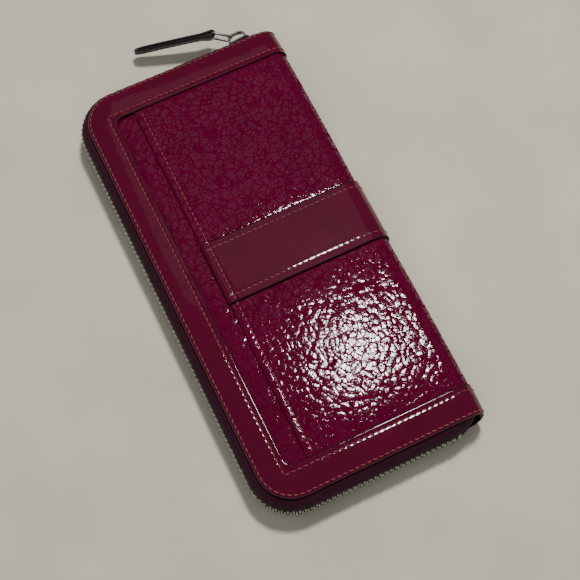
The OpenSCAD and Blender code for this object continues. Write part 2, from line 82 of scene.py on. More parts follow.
# Leather is laid out flat as (p, q): p from the middle of the spine towards the zip side, q along +Y.
HALF_UP = TOP_Z / 2 - SPINE_R
P_FLAT = HALF_UP + math.pi / 2 * SPINE_R
P_EDGE = P_FLAT + ROLL_X - EDGE_X
P_POCKET = P_FLAT + ROLL_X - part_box("slip_pocket_panel")[0].x
P_TRIM = P_EDGE - TRIM_SIDE
CORNER_R = 15.5 * MM
INNER_R = 4 * MM

ZIP_Z = TOP_Z / 2
TOOTH_W = 2.4 * MM
ZIP_OUT = TEETH_OUT - TOOTH_W / 2
TOOTH_PITCH = 2.4 * MM

FRONT, BACK = 1, -1
SIDE_NAME = {FRONT: "front", BACK: "back"}


def even(low, high, step):
    """Evenly spaced values from low to high, no further apart than step."""
    return np.linspace(low, high, max(2, int(math.ceil((high - low) / step)) + 1))


def bell(d, width):
    """1 where d is 0, falling smoothly to nothing a few widths away."""
    return np.exp(-((d / width) ** 2))


# ---- Noise ----

def lattice(seed):
    return np.random.default_rng(seed).random((256, 256))


def smooth_noise(x, y, seed):
    """Value noise from 0 to 1, one random value for each unit square's corner."""
    table = lattice(seed)
    ix, iy = np.floor(x).astype(int), np.floor(y).astype(int)
    fx, fy = x - ix, y - iy
    fx = fx * fx * fx * (fx * (fx * 6 - 15) + 10)
    fy = fy * fy * fy * (fy * (fy * 6 - 15) + 10)
    a = table[ix % 256, iy % 256]
    b = table[(ix + 1) % 256, iy % 256]
    c = table[ix % 256, (iy + 1) % 256]
    d = table[(ix + 1) % 256, (iy + 1) % 256]
    return (a * (1 - fx) + b * fx) * (1 - fy) + (c * (1 - fx) + d * fx) * fy


def cells(x, y, seed):
    """Distances to the nearest and second nearest of one random point for each unit square."""
    table_x, table_y = lattice(seed), lattice(seed + 1)
    ix, iy = np.floor(x).astype(int), np.floor(y).astype(int)
    first = np.full(np.shape(x), 9.0)
    second = np.full(np.shape(x), 9.0)
    for dx in (-1, 0, 1):
        for dy in (-1, 0, 1):
            cx, cy = ix + dx, iy + dy
            px = cx + table_x[cx % 256, cy % 256]
            py = cy + table_y[cx % 256, cy % 256]
            d = np.hypot(x - px, y - py)
            second = np.minimum(second, np.maximum(first, d))
            first = np.minimum(first, d)
    return first, second


def crinkle(p, q, seed):
    """Height of crinkled patent leather, in metres: domed grains, creases between them, soft puffs."""
    x, y = p / MM, q / MM
    wx = x + 2.4 * (smooth_noise(x / 6, y / 6, seed) - 0.5)
    wy = y + 2.4 * (smooth_noise(x / 6, y / 6, seed + 2) - 0.5)
    near, far = cells(wx / 3.0, wy / 3.3, seed + 4)
    crease = bell(far - near, 0.2)
    wrinkle = bell(smooth_noise(wx / 7, wy / 8, seed + 6) - 0.5, 0.08)
    puff = smooth_noise(x / 14, y / 14, seed + 7) - 0.5
    swell = smooth_noise(x / 5, y / 5, seed + 8) - 0.5
    return (-0.05 * near**2 - 0.02 * crease - 0.015 * wrinkle + 0.09 * puff + 0.02 * swell) * MM


def diagonal_creases(p, q, seed):
    """Height of the strip between the trim and the pocket, pulled into short slanting creases."""
    x, y = p / MM, q / MM
    along, across = 0.61 * y - 0.79 * x, 0.61 * x + 0.79 * y
    across = across + 1.2 * (smooth_noise(x / 5, y / 5, seed) - 0.5)
    folds = smooth_noise(along / 6, across / 1.5, seed + 1) - 0.5
    fine = smooth_noise(along / 2.5, across / 0.7, seed + 2) - 0.5
    strength = 0.35 + 0.65 * smooth_noise(y / 22, x / 22, seed + 3)
    return (0.15 * folds + 0.04 * fine) * strength * MM


def supple(p, q, seed):
    """Height of smooth leather: only slow, shallow waves."""
    x, y = p / MM, q / MM
    slow = smooth_noise(x / 9, y / 9, seed) - 0.5
    quick = smooth_noise(x / 2.5, y / 2.5, seed + 1) - 0.5
    return (0.05 * slow + 0.016 * quick) * MM


# ---- Meshes ----

SHARP_ANGLE = math.radians(55)


def make_mesh(name, verts, faces, materials, indices=None, smooth=True):
    """An object from a vertex array and a list of faces, each a tuple of vertex numbers."""
    mesh = bpy.data.meshes.new(name)
    mesh.from_pydata(np.asarray(verts, float).reshape(-1, 3).tolist(), [], faces)
    for material in materials:
        mesh.materials.append(material)
    if indices is not None:
        mesh.polygons.foreach_set("material_index", np.asarray(indices, np.int32))
    mesh.polygons.foreach_set("use_smooth", np.full(len(mesh.polygons), smooth))
    mesh.set_sharp_from_angle(angle=SHARP_ANGLE)
    mesh.update()
    obj = bpy.data.objects.new(name, mesh)
    bpy.context.scene.collection.objects.link(obj)
    return obj


def wrap(p, q, h, side):
    """From the flat layout to the closed wallet: over the spine and out along the front or back."""
    p, q, h = np.broadcast_arrays(p, q, h)
    angle = np.clip((p - HALF_UP) / SPINE_R, 0, math.pi / 2)
    flat = np.maximum(p - P_FLAT, 0)
    x = ROLL_X + (SPINE_R + h) * np.cos(angle) - flat
    z = TOP_Z / 2 + np.minimum(p, HALF_UP) + (SPINE_R + h) * np.sin(angle)
    if side == BACK:
        z = TOP_Z - z
    return np.stack([x, q, z], axis=-1)


def wrap_normal(p, side):
    angle = np.clip((p - HALF_UP) / SPINE_R, 0, math.pi / 2)
    return np.stack([np.cos(angle), np.zeros_like(angle), side * np.sin(angle)], axis=-1)


def ring_faces(rows, ring, flip=False):
    """Quads between neighbouring closed rings, and a cap over the first and the last."""
    faces = []
    for r in range(rows - 1):
        a, b = r * ring, (r + 1) * ring
        for k in range(ring):
            n = (k + 1) % ring
            quad = (a + k, a + n, b + n, b + k)
            faces.append(quad[::-1] if flip else quad)
    first = tuple(range(ring))
    last = tuple(range((rows - 1) * ring, rows * ring))
    faces.append(first if flip else first[::-1])
    faces.append(last[::-1] if flip else last)
    return faces


def ring_body(name, verts, materials, ring_mats, flip=False):
    """A closed body from rows of rings, shape (rows, ring, 3), with a material number for each ring edge."""
    rows, ring = verts.shape[:2]
    indices = list(ring_mats) * (rows - 1) + [ring_mats[0], ring_mats[0]]
    return make_mesh(name, verts, ring_faces(rows, ring, flip), materials, indices)


def resample(path, pitch):
    """Points at even steps along a path of (p, q) points, with the path's directions there."""
    probe = 0.2 * MM
    steps = np.hypot(*np.diff(path, axis=0).T)
    length = np.concatenate([[0], np.cumsum(steps)])
    count = max(1, int(round(length[-1] / pitch)))
    at = (np.arange(count) + 0.5) * length[-1] / count
    p = np.interp(at, length, path[:, 0])
    q = np.interp(at, length, path[:, 1])
    ahead, behind = [np.column_stack([np.interp(at + step, length, line) for line in path.T])
                     for step in (probe, -probe)]
    return p, q, ahead - behind


def capsule(length, radius):
    """Vertices and faces of a small thread-like capsule along X."""
    sides, verts = 6, []
    stations = [(-0.5, 0.25), (-0.42, 0.75), (-0.2, 1.0), (0.2, 1.0), (0.42, 0.75), (0.5, 0.25)]
    for along, wide in stations:
        for i in range(sides):
            a = 2 * math.pi * i / sides
            verts.append((along * length, wide * radius * math.cos(a), wide * radius * math.sin(a)))
    return np.array(verts), ring_faces(len(stations), sides)


def placed_copies(name, verts, faces, origins, axes, material):
    """One mesh of many copies. axes is (copies, 3, 3): each copy's own X, Y and Z directions."""
    points = origins[:, None, :] + np.einsum("vk,nkc->nvc", verts, axes)
    every = [tuple(i + n * len(verts) for i in face) for n in range(len(origins)) for face in faces]
    return make_mesh(name, points, every, [material])


def unit(v):
    return v / np.linalg.norm(v, axis=-1, keepdims=True)


def band(line, half_t):
    """The closed outline of a thin sheet, from its middle line and half of its thickness."""
    normal = unit(np.gradient(line, axis=0)) @ np.array([[0, -1], [1, 0]])
    return np.concatenate([line + normal * half_t, (line - normal * half_t)[::-1]])


STITCH_PITCH = 2.7 * MM
STITCH_LEN = 2.05 * MM
THREAD_R = 0.25 * MM


def stitches(name, paths, height, side, material, seed):
    """A row of slightly slanting stitches along each path of (p, q) points, at height(p, q)."""
    rng = np.random.default_rng(seed)
    verts, faces = capsule(STITCH_LEN, THREAD_R)
    origins, axes = [], []
    for path in paths:
        p, q, direction = resample(path, STITCH_PITCH)
        slant = np.radians(7 + rng.normal(0, 2.5, len(p)))
        c, s = np.cos(slant), np.sin(slant)
        dp, dq = direction.T
        direction = np.column_stack([c * dp - s * dq, s * dp + c * dq])
        step = 0.1 * unit(direction) * MM
        h = height(p, q)
        here = wrap(p, q, h, side)
        ahead = wrap(p + step[:, 0], q + step[:, 1], h, side)
        normal = wrap_normal(p, side)
        along = unit(ahead - here)
        origins.append(here + normal * rng.normal(0, 0.02, (len(p), 1)) * MM)
        axes.append(np.stack([along, np.cross(normal, along), normal], axis=1))
    return placed_copies(name, verts, faces, np.concatenate(origins), np.concatenate(axes), material)


# ---- Materials ----

# Bands that a wave texture of scale 1 has in one unit.
BANDS_PER_UNIT = 3.18


class Material:
    """A short way to write a procedural material: nodes are added by type, inputs set by name."""

    def __init__(self, name):
        self.material = bpy.data.materials.new(name)
        self.material.use_nodes = True
        self.tree = self.material.node_tree
        self.shader = self.tree.nodes["Principled BSDF"]
        self.place = self.add("ShaderNodeTexCoord").outputs["Object"]

    def add(self, kind, **settings):
        node = self.tree.nodes.new(kind)
        for key, value in settings.items():
            setattr(node, key, value)
        return node

    def link(self, output, node, name):
        self.tree.links.new(output, node.inputs[name])

    def values(self, **inputs):
        for name, value in inputs.items():
            self.shader.inputs[name.replace("_", " ")].default_value = value

    def noise(self, per_mm, detail=3.0, rough=0.5):
        node = self.add("ShaderNodeTexNoise")
        node.inputs["Scale"].default_value = per_mm / MM
        node.inputs["Detail"].default_value = detail
        node.inputs["Roughness"].default_value = rough
        self.link(self.place, node, "Vector")
        return node.outputs["Fac"]

    def grain(self, per_mm, place=None):
        """Distance to the nearest edge between grains."""
        node = self.add("ShaderNodeTexVoronoi", feature="DISTANCE_TO_EDGE")
        node.inputs["Scale"].default_value = per_mm / MM
        self.link(place or self.place, node, "Vector")
        return node.outputs["Distance"]

    def warped(self, per_mm, by_mm):
        """Places pushed about by noise, so that a pattern at them looks irregular."""
        noise = self.add("ShaderNodeTexNoise")
        noise.inputs["Scale"].default_value = per_mm / MM
        self.link(self.place, noise, "Vector")
        push = self.add("ShaderNodeVectorMath", operation="MULTIPLY_ADD")
        push.inputs[1].default_value = (by_mm * MM,) * 3
        self.link(noise.outputs["Color"], push, 0)
        self.link(self.place, push, 2)
        return push.outputs["Vector"]

    def wave(self, per_mm, direction, distortion):
        node = self.add("ShaderNodeTexWave", bands_direction=direction)
        node.inputs["Scale"].default_value = per_mm / MM / BANDS_PER_UNIT
        node.inputs["Distortion"].default_value = distortion
        self.link(self.place, node, "Vector")
        return node.outputs["Fac"]

    def ramp(self, source, stops):
        node = self.add("ShaderNodeValToRGB")
        points = node.color_ramp.elements
        while len(points) < len(stops):
            points.new(0.5)
        for point, (at, colour) in zip(points, stops):
            point.position = at
            point.color = (*colour, 1)
        self.link(source, node, "Fac")
        return node.outputs["Color"]

    def mixed(self, first, second, share):
        """A share of the first source and the rest of the second."""
        rest = self.maths("MULTIPLY", second, 1 - share)
        return self.maths("ADD", self.maths("MULTIPLY", first, share), rest)

    def remap(self, source, low, high):
        node = self.add("ShaderNodeMapRange")
        node.inputs["To Min"].default_value = low
        node.inputs["To Max"].default_value = high
        self.link(source, node, "Value")
        return node.outputs["Result"]

    def maths(self, operation, first, second):
        node = self.add("ShaderNodeMath", operation=operation)
        self.link(first, node, 0)
        if isinstance(second, (int, float)):
            node.inputs[1].default_value = second
        else:
            self.link(second, node, 1)
        return node.outputs["Value"]

    def bump(self, source, depth_mm, below=None):
        node = self.add("ShaderNodeBump")
        node.inputs["Strength"].default_value = 1.0
        node.inputs["Distance"].default_value = depth_mm * MM
        self.link(source, node, "Height")
        if below is not None:
            self.link(below, node, "Normal")
        return node.outputs["Normal"]

    def finish(self, colour, roughness, normal=None, coat_normal=None):
        for output, name in ((colour, "Base Color"), (roughness, "Roughness"),
                             (normal, "Normal"), (coat_normal, "Coat Normal")):
            if output is not None:
                self.link(output, self.shader, name)
        return self.material


def patent_leather(name, dark, light, grain_depth, creased):
    """Lacquered leather. The lacquer is dull along its fine creases, more so the more creased it is."""
    m = Material(name)
    tone = m.noise(0.05, 4.0, 0.6)
    speckle = m.noise(1.3, 2.0, 0.6)
    colour = m.ramp(m.mixed(tone, speckle, 0.5), [(0.3, dark), (0.7, light)])
    bent = m.warped(0.4, 1.8)
    thinning = m.remap(m.noise(0.15, 2.0), 0.3, 2.0)
    dull = [(0.045, (1 - creased,) * 3), (0.105, (1, 1, 1))]
    wide = m.ramp(m.maths("MULTIPLY", m.grain(0.27, place=bent), thinning), dull)
    narrow = m.ramp(m.maths("MULTIPLY", m.grain(0.55, place=bent), thinning), dull)
    lacquer = m.maths("MULTIPLY", wide, narrow)
    normal = m.bump(m.noise(2.4, 4.0, 0.6), grain_depth * 0.1, m.bump(lacquer, grain_depth))
    m.link(lacquer, m.shader, "Coat Weight")
    m.values(Coat_Roughness=0.05, Coat_IOR=1.5, Specular_IOR_Level=0.0)
    return m.finish(colour, m.remap(speckle, 0.5, 0.65), normal, normal)


def edge_paint():
    m = Material("edge_paint")
    blotch = m.noise(0.8, 3.0)
    colour = m.ramp(blotch, [(0.3, (0.006, 0.002, 0.003)), (0.75, (0.022, 0.006, 0.009))])
    m.values(Specular_IOR_Level=0.15)
    return m.finish(colour, m.remap(blotch, 0.5, 0.7), m.bump(blotch, 0.05))


def thread():
    m = Material("thread")
    ply = m.wave(2.2, "DIAGONAL", 0.6)
    shade = m.noise(0.12, 2.0)
    colour = m.ramp(m.mixed(ply, shade, 0.5), [(0.2, (0.10, 0.018, 0.02)), (0.8, (0.27, 0.06, 0.06))])
    m.values(Sheen_Weight=0.3, Sheen_Roughness=0.4, Coat_Weight=0.35, Coat_Roughness=0.3)
    return m.finish(colour, m.remap(ply, 0.42, 0.6), m.bump(ply, 0.12))


def twill(name, dark, light, per_mm=2.2, depth=0.08, sheen=0.25):
    m = Material(name)
    rib = m.wave(per_mm, "DIAGONAL", 0.4)
    cross = m.wave(per_mm * 0.8, "Y", 0.3)
    weave = m.maths("MULTIPLY", rib, m.remap(cross, 0.6, 1.0))
    dust = m.noise(0.25, 4.0, 0.7)
    colour = m.ramp(m.mixed(weave, dust, 0.6), [(0.2, dark), (0.85, light)])
    m.values(Sheen_Weight=sheen, Sheen_Roughness=0.5, Specular_IOR_Level=0.25)
    return m.finish(colour, m.remap(weave, 0.7, 0.9), m.bump(weave, depth))


def metal(name, colour_low, colour_high, rough):
    m = Material(name)
    stain = m.noise(0.35, 4.0, 0.65)
    scratch = m.noise(3.0, 3.0, 0.7)
    m.values(Metallic=1.0)
    return m.finish(m.ramp(stain, [(0.25, colour_low), (0.7, colour_high)]),
                    m.remap(stain, rough, rough + 0.2), m.bump(scratch, 0.012))


def grained_leather(name, dark, light, rough):
    m = Material(name)
    pebble = m.ramp(m.grain(1.4), [(0.0, (0, 0, 0)), (0.35, (1, 1, 1))])
    tone = m.noise(0.09, 4.0, 0.6)
    pores = m.noise(4.0, 2.0, 0.6)
    normal = m.bump(pores, 0.024, m.bump(pebble, 0.06))
    return m.finish(m.ramp(tone, [(0.3, dark), (0.72, light)]), m.remap(tone, rough, rough + 0.14), normal)


def dark_thread():
    m = Material("black_thread")
    ply = m.wave(2.4, "DIAGONAL", 0.5)
    m.values(Sheen_Weight=0.2)
    return m.finish(m.ramp(ply, [(0.2, (0.01, 0.01, 0.01)), (0.8, (0.04, 0.038, 0.038))]),
                    m.remap(ply, 0.5, 0.7), m.bump(ply, 0.1))


def board():
    m = Material("fibre_board")
    fibre = m.noise(1.2, 5.0, 0.7)
    return m.finish(m.ramp(fibre, [(0.3, (0.22, 0.19, 0.15)), (0.7, (0.36, 0.32, 0.26))]),
                    m.remap(fibre, 0.8, 0.95), m.bump(fibre, 0.05))


CRINKLE = patent_leather("crinkled_patent", (0.058, 0.0003, 0.014), (0.086, 0.0006, 0.021), 0.003, 1.0)
SMOOTH = patent_leather("smooth_patent", (0.052, 0.0002, 0.011), (0.078, 0.0004, 0.017), 0.001, 0.12)
EDGE = edge_paint()
THREAD = thread()
TAPE = twill("zip_tape_twill", (0.016, 0.002, 0.008), (0.055, 0.009, 0.026), sheen=0.0)
LINING = twill("lining_twill", (0.045, 0.006, 0.014), (0.10, 0.02, 0.036), 1.6, 0.05)
METAL = metal("zip_metal", (0.26, 0.25, 0.23), (0.62, 0.61, 0.58), 0.2)
CARD = grained_leather("card_leather", (0.052, 0.004, 0.013), (0.092, 0.010, 0.026), 0.38)
TAB = grained_leather("tab_leather", (0.004, 0.004, 0.0045), (0.013, 0.012, 0.013), 0.34)
TAB_THREAD = dark_thread()
BOARD = board()


# ---- Leather pieces ----

def to_body(obj, side):
    """A piece that runs over the spine: its placement is baked into its mesh, the same for either side."""
    if side == BACK:
        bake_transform(obj)
    else:
        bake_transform(obj)


def pucker(run):
    """How far the thread pulls the leather in along a seam: deepest at each stitch's ends."""
    return 0.55 + 0.45 * np.cos(2 * math.pi * run / STITCH_PITCH)


# The cover leathers end under the trim, a little beyond its inner edge.
UNDER_TRIM = 5 * MM
SKIN_Y = END_Y - TRIM_END + UNDER_TRIM
SKIN_P = P_TRIM + UNDER_TRIM

# Both covers' leathers have the same rows, so that they meet along the middle of the spine.
SKIN_ROWS = even(-SKIN_Y, SKIN_Y, 0.36 * MM)

# The slip pocket's opening edge is turned over; its seam runs a little inside it.
ROLL_EDGE_R = 0.75 * MM
POCKET_SEAM = 3.3 * MM
END_IN = END_Y - TRIM_END


def at_spine(p):
    """0 in the middle of the spine, where the two leathers meet, and 1 a little way from it."""
    return np.clip(p / (3 * MM), 0, 1) ** 2


def panel_crown(p, q):
    """How far the pocket panel stands proud of its sewn edges, above and below the strap."""
    upper = np.clip((q - STRAP_HIGH) / (END_IN - STRAP_HIGH), 0, 1)
    lower = np.clip((STRAP_LOW - q) / (STRAP_LOW + END_IN), 0, 1)
    span = np.where(q > 0, upper, lower)
    across = np.clip((P_POCKET - p) / (P_POCKET - P_FLAT), 0, 1)
    rise = (4 * span * (1 - span)) ** 0.5
    return (0.55 * rise * (0.45 + 0.55 * np.sin(math.pi * np.clip(across, 0, 0.9)) ** 0.7)) * MM


def panel_top(p, q):
    """Height of the pocket panel's outer face."""
    to_edge = P_POCKET - p
    seam = -0.15 * MM * pucker(q) * bell(to_edge - POCKET_SEAM, 0.4 * MM)
    lip = 0.02 * MM * bell(to_edge - 1.5 * MM, 0.9 * MM)
    calm = np.clip(to_edge / (5 * MM), 0.25, 1)
    under_strap = np.clip(np.minimum(STRAP_HIGH - q, q - STRAP_LOW) / (2 * MM), 0, 1)
    grain = crinkle(p, q, 11) * calm * (1 - under_strap)
    return PANEL_H + (panel_crown(p, q) + grain) * at_spine(p) + seam + lip


def turned_edge(centre_p, centre_h, radius, count, last_angle):
    """Points of a turned edge, from the top face round towards the zip side and under."""
    angle = np.radians(np.linspace(0, last_angle, count + 1)[1:])
    return centre_p + radius * np.sin(angle), centre_h + radius * (np.cos(angle) - 1)


def skin(name, side, rows_q, top_p, top_h, under_p, under_h, outer_edges):
    """A leather skin: its outer face at top_p and top_h, closed underneath through under_p at under_h."""
    rows = len(rows_q)
    p_all = np.tile(np.concatenate([top_p, under_p]), (rows, 1))
    q_all = np.repeat(rows_q[:, None], p_all.shape[1], axis=1)
    h_all = np.concatenate([top_h, np.full((rows, len(under_p)), under_h)], axis=1)
    ring_mats = [0] * outer_edges + [1] * (p_all.shape[1] - outer_edges)
    return ring_body(name, wrap(p_all, q_all, h_all, side), [CRINKLE, LINING], ring_mats, side == BACK)


# Places of the inner face of a leather that goes round the spine, from its flat part to the middle.
UNDER_SPINE = [P_FLAT, P_FLAT - 6 * MM, HALF_UP, 0]


def pocket_panel():
    edge_p = P_POCKET - ROLL_EDGE_R
    face_p = np.concatenate([even(0, P_FLAT, 0.4 * MM), even(P_FLAT, edge_p, 0.32 * MM)[1:]])
    face_h = panel_top(*np.meshgrid(face_p, SKIN_ROWS))
    roll_p, roll_h = turned_edge(edge_p, 0, ROLL_EDGE_R, 8, 180)
    top_p = np.concatenate([face_p, roll_p])
    top_h = np.concatenate([face_h, face_h[:, -1:] + roll_h], axis=1)
    under_p = [P_POCKET - 9 * MM, *UNDER_SPINE]
    under_h = BASE_H + 0.12 * MM
    obj = skin("slip_pocket_leather", FRONT, SKIN_ROWS, top_p, top_h, under_p, under_h, len(top_p) - 2)
    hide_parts("slip_pocket_panel", "spine_cover")
    to_body(obj, FRONT)


def cover_strip():
    """The front cover leather, seen between the side trim and the pocket's opening."""
    low_p, high_p = P_POCKET - 14 * MM, SKIN_P
    top_p = even(low_p, high_p, 0.36 * MM)
    rows_q = even(-SKIN_Y, SKIN_Y, 0.42 * MM)
    p_grid, q_grid = np.meshgrid(top_p, rows_q)
    middle = np.clip((P_TRIM - p_grid) / (P_TRIM - P_POCKET), 0, 1)
    calm = np.clip((P_TRIM + 1.0 * MM - p_grid) / (1.5 * MM), 0.2, 1)
    rise = 0.08 * MM * np.sin(math.pi * middle)
    lean = -0.22 * MM * (1 - middle)
    creases = diagonal_creases(p_grid, q_grid, 31) + 0.15 * crinkle(p_grid, q_grid, 41)
    top_h = BASE_H + rise + lean + creases * calm
    covered = (p_grid > P_TRIM + 1.2 * MM) | (p_grid < P_POCKET - 2 * MM)
    top_h = np.where(covered, np.minimum(top_h, BASE_H), top_h)
    under_p = [high_p, low_p]
    obj = skin("front_cover_leather", FRONT, rows_q, top_p, top_h, under_p, COVER_IN_H, len(top_p) - 1)
    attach(obj, "front")
    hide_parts("front_cover")


def back_cover():
    top_p = np.concatenate([even(0, P_FLAT, 0.6 * MM), even(P_FLAT, SKIN_P, 0.5 * MM)[1:]])
    p_grid, q_grid = np.meshgrid(top_p, SKIN_ROWS)
    top_h = np.minimum(PANEL_H + crinkle(p_grid, q_grid, 61) * at_spine(p_grid), 0)
    top_h = np.where(p_grid > P_TRIM, np.minimum(top_h, PANEL_H - 0.05 * MM), top_h)
    under_p = [SKIN_P, *UNDER_SPINE]
    under_h = PANEL_H - COVER_T
    obj = skin("back_cover_leather", BACK, SKIN_ROWS, top_p, top_h, under_p, under_h, len(top_p) - 1)
    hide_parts("back_cover")
    to_body(obj, BACK)


# ---- Strap ----

STRAP_SEAM = 3.3 * MM
STRAP_ROLL = 1.5 * MM


def strap_top(p, q, side):
    """Height of the strap's outer face."""
    inside = np.minimum(STRAP_HIGH - q, q - STRAP_LOW)
    half = (STRAP_HIGH - STRAP_LOW) / 2
    crown = 0.12 * MM * np.clip(inside - STRAP_SEAM, 0, None) / half
    seam = -0.09 * MM * pucker(p) * bell(inside - STRAP_SEAM, 0.3 * MM)
    edge = -0.12 * MM * bell(inside, 0.15 * MM)
    lift = 0.25 * MM if side == FRONT else -0.12 * MM
    pocket_seam = -0.2 * MM * bell(P_POCKET - p - POCKET_SEAM, 0.55 * MM) if side == FRONT else 0
    return lift + crown * (side == FRONT) + seam + edge + pocket_seam + supple(p, q, 71)


def strap(side):
    """The strap's ring crosses its outer face, then comes back along its inner face's two corners."""
    near_edge = np.array([0, 0.12, 0.3, 0.6]) * MM
    between = even(STRAP_LOW + 1 * MM, STRAP_HIGH - 1 * MM, 0.5 * MM)
    across = np.concatenate([STRAP_LOW + near_edge, between, STRAP_HIGH - near_edge[::-1]])
    ring_q = np.append(across, [STRAP_HIGH, STRAP_LOW])
    end_p = P_POCKET + 0.5 * MM - STRAP_ROLL if side == FRONT else P_TRIM + 3 * MM
    rows_p = np.concatenate([even(0, P_FLAT, 0.6 * MM), even(P_FLAT, end_p, 0.8 * MM)[1:]])
    q_all, p_all = np.meshgrid(ring_q, rows_p)
    h_all = strap_top(p_all, q_all, side)
    h_all[:, [0, len(across) - 1]] -= 0.3 * MM
    h_all[:, [1, len(across) - 2]] -= 0.05 * MM
    h_all[:, len(across):] = PANEL_H - 0.15 * MM
    if side == FRONT:
        inner = 1 - TRIM_T / STRAP_ROLL
        share = np.append(np.ones(len(across)), [inner, inner])
        last_h = np.append(h_all[-1, :len(across)], [PANEL_H, PANEL_H])
        for dp, dh in zip(*turned_edge(0, 0, STRAP_ROLL, 9, 150)):
            p_all = np.vstack([p_all, end_p + dp * share])
            q_all = np.vstack([q_all, ring_q])
            h_all = np.vstack([h_all, last_h + dh * share])
    ring_mats = [1] * 3 + [0] * (len(across) - 7) + [1] * 6
    name = SIDE_NAME[side] + "_strap_leather"
    obj = ring_body(name, wrap(p_all, q_all, h_all, side), [SMOOTH, EDGE], ring_mats, side == FRONT)
    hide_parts(SIDE_NAME[side] + "_strap", *(["spine_strap"] if side == FRONT else []))
    to_body(obj, side)
    paths = [np.array([[0.8 * MM, q], [end_p, q]]) for q in (STRAP_LOW + STRAP_SEAM, STRAP_HIGH - STRAP_SEAM)]
    seam = stitches(SIDE_NAME[side] + "_strap_stitches", paths,
                    lambda p, q: strap_top(p, q, side) + 0.12 * MM * (side == FRONT), side, THREAD, 72 + side)
    to_body(seam, side)


def pocket_stitches():
    """The seam along the pocket's opening, carried on across the strap's end."""
    p = P_POCKET - POCKET_SEAM
    path = np.array([[p, -END_IN + 1.5 * MM], [p, END_IN - 1.5 * MM]])

    def height(pp, qq):
        on_strap = (qq > STRAP_LOW) & (qq < STRAP_HIGH)
        return np.where(on_strap, strap_top(pp, qq, FRONT), panel_top(pp, qq)) + 0.16 * MM

    obj = stitches("pocket_stitches", [path], height, FRONT, THREAD, 81)
    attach(obj, "front")


# ---- Trim ----

SEAM_OUT = 1.15 * MM
SEAM_IN = 2.5 * MM
ARC_STEPS, END_STEPS, SIDE_STEPS = 12, 150, 260
# How much lower the front trim's outer edge lies than its inner edge.
TRIM_FALL = 0.55 * MM
# How far the trim's painted edge reaches down, over the leathers and boards under it.
WALL_DEPTH = {FRONT: 2.55 * MM, BACK: 1.7 * MM}
WALL_MIDDLE = 1.35 * MM


def border(inset_side, inset_end, radius, part):
    """A line set in from the wallet's outline, as (p, q) points: along the +Y end or the zip side."""
    p_far, q_far = P_EDGE - inset_side, END_Y - inset_end
    centre_p, centre_q = p_far - radius, q_far - radius
    start = 0 if part == "end" else 45
    turn = np.radians(start + np.linspace(0, 45, ARC_STEPS + 1))
    arc = np.column_stack([centre_p + radius * np.sin(turn), centre_q + radius * np.cos(turn)])
    if part == "end":
        straight = np.column_stack([np.linspace(0, centre_p, END_STEPS), np.full(END_STEPS, q_far)])
        return np.concatenate([straight, arc[1:]])
    straight = np.column_stack([np.full(SIDE_STEPS, p_far), np.linspace(centre_q, -centre_q, SIDE_STEPS)])
    return np.concatenate([arc, straight[1:-1], arc[::-1] * np.array([1, -1])])


def trim_height(d_out, d_in, side, pull=1.0):
    """Height of the trim from its distances to its outer and inner edges."""
    edge_r = 0.9 * MM
    near = np.clip(edge_r - d_out, 0, edge_r)
    outer = -(edge_r - np.sqrt(edge_r ** 2 - near ** 2))
    seams = -0.09 * MM * pull * (bell(d_out - SEAM_OUT, 0.3 * MM) + bell(d_in - SEAM_IN, 0.3 * MM))
    width = d_out + d_in - SEAM_OUT - SEAM_IN
    t = np.clip((d_out - SEAM_OUT) / width, 0, 1)
    crown = 0.1 * MM * np.sin(math.pi * t)
    inner = -0.18 * MM * bell(d_in, 0.2 * MM)
    if side == BACK:
        return outer + seams + inner - 0.05 * MM
    fall = -TRIM_FALL * np.clip(1 - d_out / TRIM_END, 0, 1)
    return outer + seams + crown + inner + fall


def trim(side, part, q_sign):
    """One length of trim, from the outline's painted edge over its face to its inner edge."""
    outer = border(0, 0, CORNER_R, part)
    inner = border(TRIM_SIDE, TRIM_END, INNER_R, part)
    fractions = np.concatenate([[0, 0.006, 0.015, 0.03, 0.05, 0.075], np.linspace(0.1, 0.9, 26),
                                [0.925, 0.95, 0.97, 0.985, 0.994, 1.0]])
    across = outer[:, None, :] * (1 - fractions[None, :, None]) + inner[:, None, :] * fractions[None, :, None]
    p_grid, q_grid = across[..., 0], across[..., 1]
    width = np.hypot(*(outer - inner).T)[:, None]
    steps = np.hypot(*np.diff((outer + inner) / 2, axis=0).T)
    run = np.concatenate([[0], np.cumsum(steps)])
    h_grid = trim_height(fractions * width, (1 - fractions) * width, side, pucker(run)[:, None])
    h_grid = h_grid + supple(p_grid, q_sign * q_grid, 91 + side)
    mitre = bell(run[-1] - run, 0.3 * MM)
    if part == "side":
        mitre = mitre + bell(run, 0.3 * MM)
    h_grid = h_grid - 0.1 * MM * mitre[:, None]
    if side == BACK:
        h_grid = np.minimum(h_grid, 0)
    wall_out = [-WALL_DEPTH[side], -WALL_MIDDLE]
    on_cover = (p_grid[:, -1:] > P_POCKET) & (side == FRONT)
    wall_in = np.where(on_cover, BASE_H, PANEL_H)
    walled = np.concatenate([outer[:, None], outer[:, None], across, inner[:, None]], axis=1)
    h_all = np.concatenate([np.tile(wall_out, (len(outer), 1)), h_grid, wall_in - 0.25 * MM], axis=1)
    ring_mats = [1, 1] + [0] * (len(fractions) - 4) + [1] * 5
    where = {"side": "side", "end": "top" if q_sign > 0 else "bottom"}[part]
    name = f"{SIDE_NAME[side]}_trim_{where}"
    verts = wrap(walled[..., 0], q_sign * walled[..., 1], h_all, side)
    flip = (side == FRONT) != (q_sign > 0)
    obj = ring_body(name + "_leather", verts, [SMOOTH, EDGE], ring_mats, flip)
    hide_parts(name)
    if part == "end" and side == FRONT:
        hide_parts("spine_trim_" + where)
    if part == "end":
        to_body(obj, side)
    else:
        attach(obj, SIDE_NAME[side])


